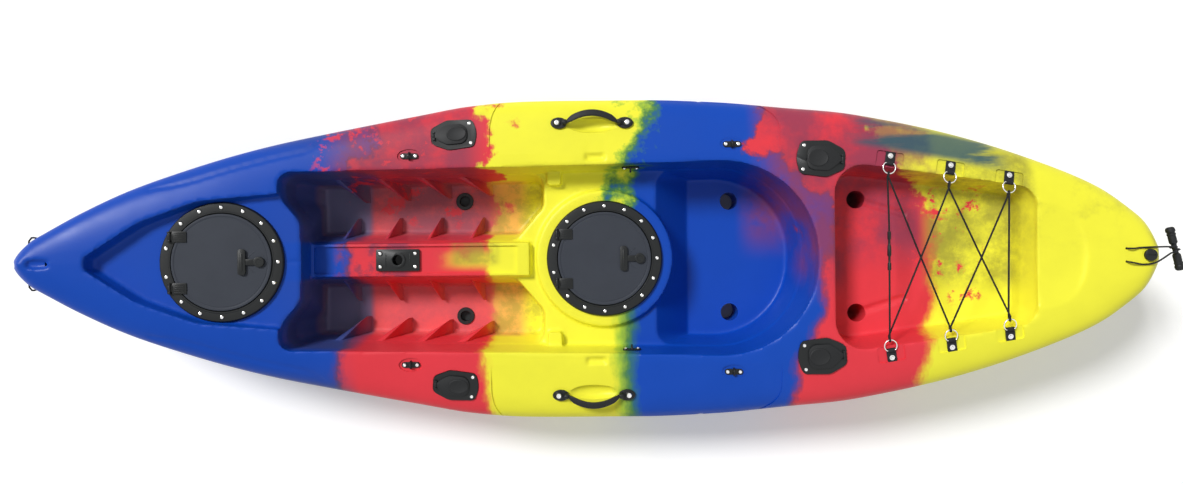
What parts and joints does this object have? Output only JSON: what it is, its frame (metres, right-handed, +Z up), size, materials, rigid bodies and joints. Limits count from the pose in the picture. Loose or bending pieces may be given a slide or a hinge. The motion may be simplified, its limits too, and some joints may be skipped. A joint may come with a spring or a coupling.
{
  "type": "sit-on-top kayak",
  "caption": "Sit-on-top fishing kayak with hinged round hatches, capped rod holders, swing-up side handles, a moulded seat and footwells, and a laced cargo well.",
  "frame": {"origin": "on the floor, under the middle of the hull", "axes": "+X towards the bow, +Y to port, +Z up"},
  "size_m": [2.7533, 0.782, 0.386],
  "materials": {
    "hull_plastic": "rotomoulded polyethylene, blue, red and yellow swirled together, semi-gloss",
    "black_plastic": "fine moulded texture",
    "dark_plastic": "fine moulded texture",
    "rubber": "soft, matte",
    "webbing": "woven nylon strap",
    "stainless_steel": "bright stainless steel",
    "cord": "braided cord"
  },
  "bodies": {
    "kayak": {"hull": "hull_plastic", "bow_hatch_frame": "black_plastic", "bow_hatch_gasket": "rubber", "bow_hatch_hinge_pin_port": "stainless_steel", "bow_hatch_hinge_pin_starboard": "stainless_steel", "centre_hatch_frame": "black_plastic", "centre_hatch_gasket": "rubber", "centre_hatch_hinge_pin_port": "stainless_steel", "centre_hatch_hinge_pin_starboard": "stainless_steel", "front_rod_holder_port": "black_plastic", "front_rod_holder_starboard": "black_plastic", "rear_rod_holder_port": "black_plastic", "rear_rod_holder_starboard": "black_plastic", "front_pad_eye_port": "black_plastic", "front_pad_eye_starboard": "black_plastic", "rear_pad_eye_port": "black_plastic", "rear_pad_eye_starboard": "black_plastic", "seat_strap_eye_port": "black_plastic", "seat_strap_eye_starboard": "black_plastic", "side_handle_mount_port_bow": "black_plastic", "side_handle_mount_port_stern": "black_plastic", "side_handle_mount_starboard_bow": "black_plastic", "side_handle_mount_starboard_stern": "black_plastic", "tie_down_1_tab_port": "webbing", "tie_down_1_tab_starboard": "webbing", "tie_down_2_tab_port": "webbing", "tie_down_2_tab_starboard": "webbing", "tie_down_3_tab_port": "webbing", "tie_down_3_tab_starboard": "webbing", "tie_down_1_ring_port": "stainless_steel", "tie_down_1_ring_starboard": "stainless_steel", "tie_down_2_ring_port": "stainless_steel", "tie_down_2_ring_starboard": "stainless_steel", "tie_down_3_ring_port": "stainless_steel", "tie_down_3_ring_starboard": "stainless_steel", "bungee_cord": "cord", "bungee_connector": "black_plastic", "accessory_base": "black_plastic", "stern_toggle_cord": "cord", "bow_grab_cord": "cord"},
    "bow_lid": {"bow_hatch_lid": "black_plastic"},
    "bow_latch": {"bow_hatch_latch": "black_plastic"},
    "centre_lid": {"centre_hatch_lid": "black_plastic"},
    "centre_latch": {"centre_hatch_latch": "black_plastic"},
    "front_port_cap": {"front_rod_holder_port_cap": "rubber"},
    "front_starboard_cap": {"front_rod_holder_starboard_cap": "rubber"},
    "rear_port_cap": {"rear_rod_holder_port_cap": "rubber"},
    "rear_starboard_cap": {"rear_rod_holder_starboard_cap": "rubber"},
    "port_handle": {"side_handle_port": "black_plastic"},
    "starboard_handle": {"side_handle_starboard": "black_plastic"},
    "port_scupper_plug": {"scupper_plug_port": "rubber"},
    "starboard_scupper_plug": {"scupper_plug_starboard": "rubber"},
    "drain_seal": {"drain_plug_seal": "rubber"},
    "drain_screw": {"drain_plug": "black_plastic"},
    "toggle": {"stern_toggle": "dark_plastic"}
  },
  "joints": [
    {"name": "bow_lid_hinge", "type": "hinge", "parent": "kayak", "child": "bow_lid", "pos_m": [0.99636, 0, 0.32587], "axis": [0, 1, 0], "range_deg": [0, 120]},
    {"name": "bow_latch_turn", "type": "hinge", "parent": "bow_lid", "child": "bow_latch", "pos_m": [0.79224, 0, 0.3016], "axis": [-0.0958, 0, 0.9954], "range_deg": [0, 90]},
    {"name": "centre_lid_hinge", "type": "hinge", "parent": "kayak", "child": "centre_lid", "pos_m": [0.0863, 0, 0.2206], "axis": [0, 1, 0], "range_deg": [0, 120]},
    {"name": "centre_latch_turn", "type": "hinge", "parent": "centre_lid", "child": "centre_latch", "pos_m": [-0.1192, 0, 0.216], "axis": [0, 0, 1], "range_deg": [0, 90]},
    {"name": "front_port_cap_hinge", "type": "hinge", "parent": "kayak", "child": "front_port_cap", "pos_m": [0.37883, 0.29959, 0.28015], "axis": [0.0866, 0.9842, -0.1546], "range_deg": [0, 110]},
    {"name": "front_starboard_cap_hinge", "type": "hinge", "parent": "kayak", "child": "front_starboard_cap", "pos_m": [0.37883, -0.29959, 0.28015], "axis": [-0.0866, 0.9842, 0.1546], "range_deg": [0, 110]},
    {"name": "rear_port_cap_hinge", "type": "hinge", "parent": "kayak", "child": "rear_port_cap", "pos_m": [-0.59842, 0.23293, 0.31009], "axis": [0.0736, -0.9947, 0.0725], "range_deg": [0, 110]},
    {"name": "rear_starboard_cap_hinge", "type": "hinge", "parent": "kayak", "child": "rear_starboard_cap", "pos_m": [-0.59842, -0.23293, 0.31009], "axis": [-0.0736, -0.9947, -0.0725], "range_deg": [0, 110]},
    {"name": "port_handle_swing", "type": "hinge", "parent": "kayak", "child": "port_handle", "pos_m": [-0.00299, 0.33083, 0.27908], "axis": [1, 0, -0.0008], "range_deg": [0, 120]},
    {"name": "starboard_handle_swing", "type": "hinge", "parent": "kayak", "child": "starboard_handle", "pos_m": [-0.00299, -0.33083, 0.27908], "axis": [-1, 0, 0.0008], "range_deg": [0, 120]},
    {"name": "port_scupper_plug_pull", "type": "slide", "parent": "kayak", "child": "port_scupper_plug", "axis": [0, 0, 1], "range_m": [0, 0.06]},
    {"name": "starboard_scupper_plug_pull", "type": "slide", "parent": "kayak", "child": "starboard_scupper_plug", "axis": [0, 0, 1], "range_m": [0, 0.06]},
    {"name": "drain_plug_lift", "type": "slide", "parent": "kayak", "child": "drain_seal", "axis": [0.0584, 0, 0.9983], "range_m": [0, 0.015]},
    {"name": "drain_plug_turn", "type": "hinge", "parent": "drain_seal", "child": "drain_screw", "pos_m": [-1.30202, 0, 0.34645], "axis": [0.0584, 0, 0.9983], "range_deg": [0, 1800]},
    {"name": "toggle_spin", "type": "hinge", "parent": "kayak", "child": "toggle", "pos_m": [-1.376, -0.0135, 0.324], "axis": [-0.2419, 0.9703, 0], "continuous": true}
  ],
  "couplings": [
    {"joint": "drain_plug_turn", "follows": "drain_plug_lift", "rad_per_m": 2094.4}
  ]
}
